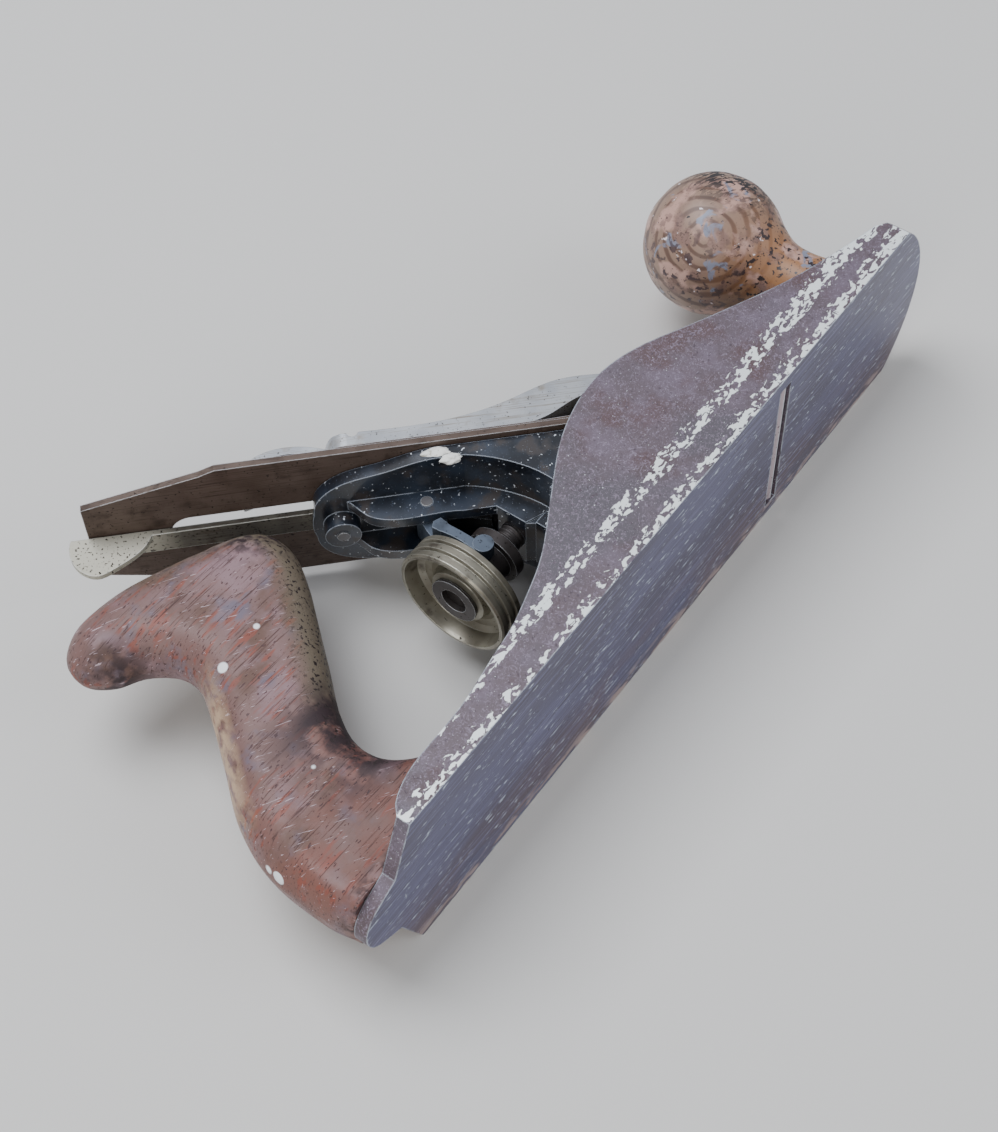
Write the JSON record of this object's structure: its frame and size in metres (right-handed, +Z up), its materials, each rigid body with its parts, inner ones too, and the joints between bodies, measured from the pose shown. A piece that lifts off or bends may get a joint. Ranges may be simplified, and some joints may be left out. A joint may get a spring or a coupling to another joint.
{
  "type": "bench plane",
  "caption": "Short-soled iron bench plane with pitched frog, cutter and cap iron, cam-locked lever cap, screw depth wheel, side lever, round front knob and horned rear handle.",
  "frame": {"origin": "middle of the sole's length and width, on the sole face", "axes": "+X towards the toe, +Y to the left when pushing, +Z up from the sole"},
  "size_m": [0.2443, 0.054, 0.1267],
  "materials": {
    "iron_patina": "worn cast iron with brown patina",
    "black_japan": "worn black enamel",
    "steel_worn": "worn steel",
    "cutter_rust": "brown oxidised tool steel",
    "nickel_worn": "worn nickel plate",
    "brass": "dull brass",
    "wheel_nickel": "dull yellowed nickel plate",
    "hardwood": "worn stained hardwood"
  },
  "bodies": {
    "body": {"body_casting": "iron_patina", "frog_screws": "steel_worn", "frog_washers": "steel_worn", "front_knob": "hardwood", "knob_bolt": "steel_worn", "knob_nut": "brass", "rear_handle": "hardwood", "handle_rod": "steel_worn", "handle_nut": "brass"},
    "frog": {"frog": "black_japan", "frog_clip": "steel_worn", "clip_screw": "steel_worn", "depth_stud": "steel_worn", "yoke_pin": "steel_worn", "lateral_rivet": "steel_worn", "lever_cap_screw": "steel_worn"},
    "adjusting_screw": {"frog_adjusting_screw": "steel_worn"},
    "depth_hub": {"depth_hub": "steel_worn"},
    "depth_wheel": {"depth_wheel": "wheel_nickel"},
    "yoke": {"yoke": "steel_worn"},
    "side_lever": {"lateral_lever": "nickel_worn", "lateral_roller": "steel_worn"},
    "cap_screw": {"cap_iron_screw": "steel_worn"},
    "cutter": {"cutter_iron": "cutter_rust", "cap_iron": "cutter_rust"},
    "lever_cap": {"lever_cap": "nickel_worn", "cap_spring": "steel_worn", "spring_rivet": "steel_worn", "cam_pin": "steel_worn"},
    "cam": {"cam_lever": "nickel_worn"}
  },
  "joints": [
    {"name": "frog_slide", "type": "slide", "parent": "body", "child": "frog", "axis": [1, 0, 0], "range_m": [0, 0.0008]},
    {"name": "frog_screw_turn", "type": "hinge", "parent": "frog", "child": "adjusting_screw", "pos_m": [0, 0, 0.0068], "axis": [1, 0, 0], "range_deg": [0, 227.27]},
    {"name": "cutter_depth", "type": "slide", "parent": "frog", "child": "cap_screw", "axis": [0.7071, 0, -0.7071], "range_m": [-0.0012, 0.0004]},
    {"name": "cutter_skew", "type": "hinge", "parent": "cap_screw", "child": "cutter", "pos_m": [0.02342, 0, 0.02475], "axis": [0.7071, 0, 0.7071], "range_deg": [-0.9, 0.9]},
    {"name": "side_lever_swing", "type": "hinge", "parent": "frog", "child": "side_lever", "pos_m": [-0.03329, 0, 0.07835], "axis": [0.7071, 0, 0.7071], "range_deg": [-7, 7]},
    {"name": "yoke_rock", "type": "hinge", "parent": "frog", "child": "yoke", "pos_m": [-0.02241, 0, 0.05883], "axis": [0, 1, 0], "range_deg": [-6.7, 2.3]},
    {"name": "depth_travel", "type": "slide", "parent": "frog", "child": "depth_hub", "axis": [-1, 0, 0], "range_m": [-0.0023, 0.0008]},
    {"name": "depth_wheel_turn", "type": "hinge", "parent": "depth_hub", "child": "depth_wheel", "pos_m": [-0.035, 0, 0.039], "axis": [1, 0, 0], "range_deg": [-650, 220]},
    {"name": "cap_slide", "type": "slide", "parent": "frog", "child": "lever_cap", "axis": [-0.7071, 0, 0.7071], "range_m": [0, 0.011]},
    {"name": "cam_lock", "type": "hinge", "parent": "lever_cap", "child": "cam", "pos_m": [-0.0229, 0, 0.08096], "axis": [0, 1, 0], "range_deg": [0, 100]}
  ],
  "couplings": [
    {"joint": "frog_screw_turn", "follows": "frog_slide", "rad_per_m": 4947.4},
    {"joint": "side_lever_swing", "follows": "cutter_skew", "ratio": -7.6667},
    {"joint": "yoke_rock", "follows": "cutter_depth", "rad_per_m": 96.154},
    {"joint": "depth_travel", "follows": "cutter_depth", "ratio": 1.9038},
    {"joint": "depth_wheel_turn", "follows": "cutter_depth", "rad_per_m": 9419.1}
  ]
}
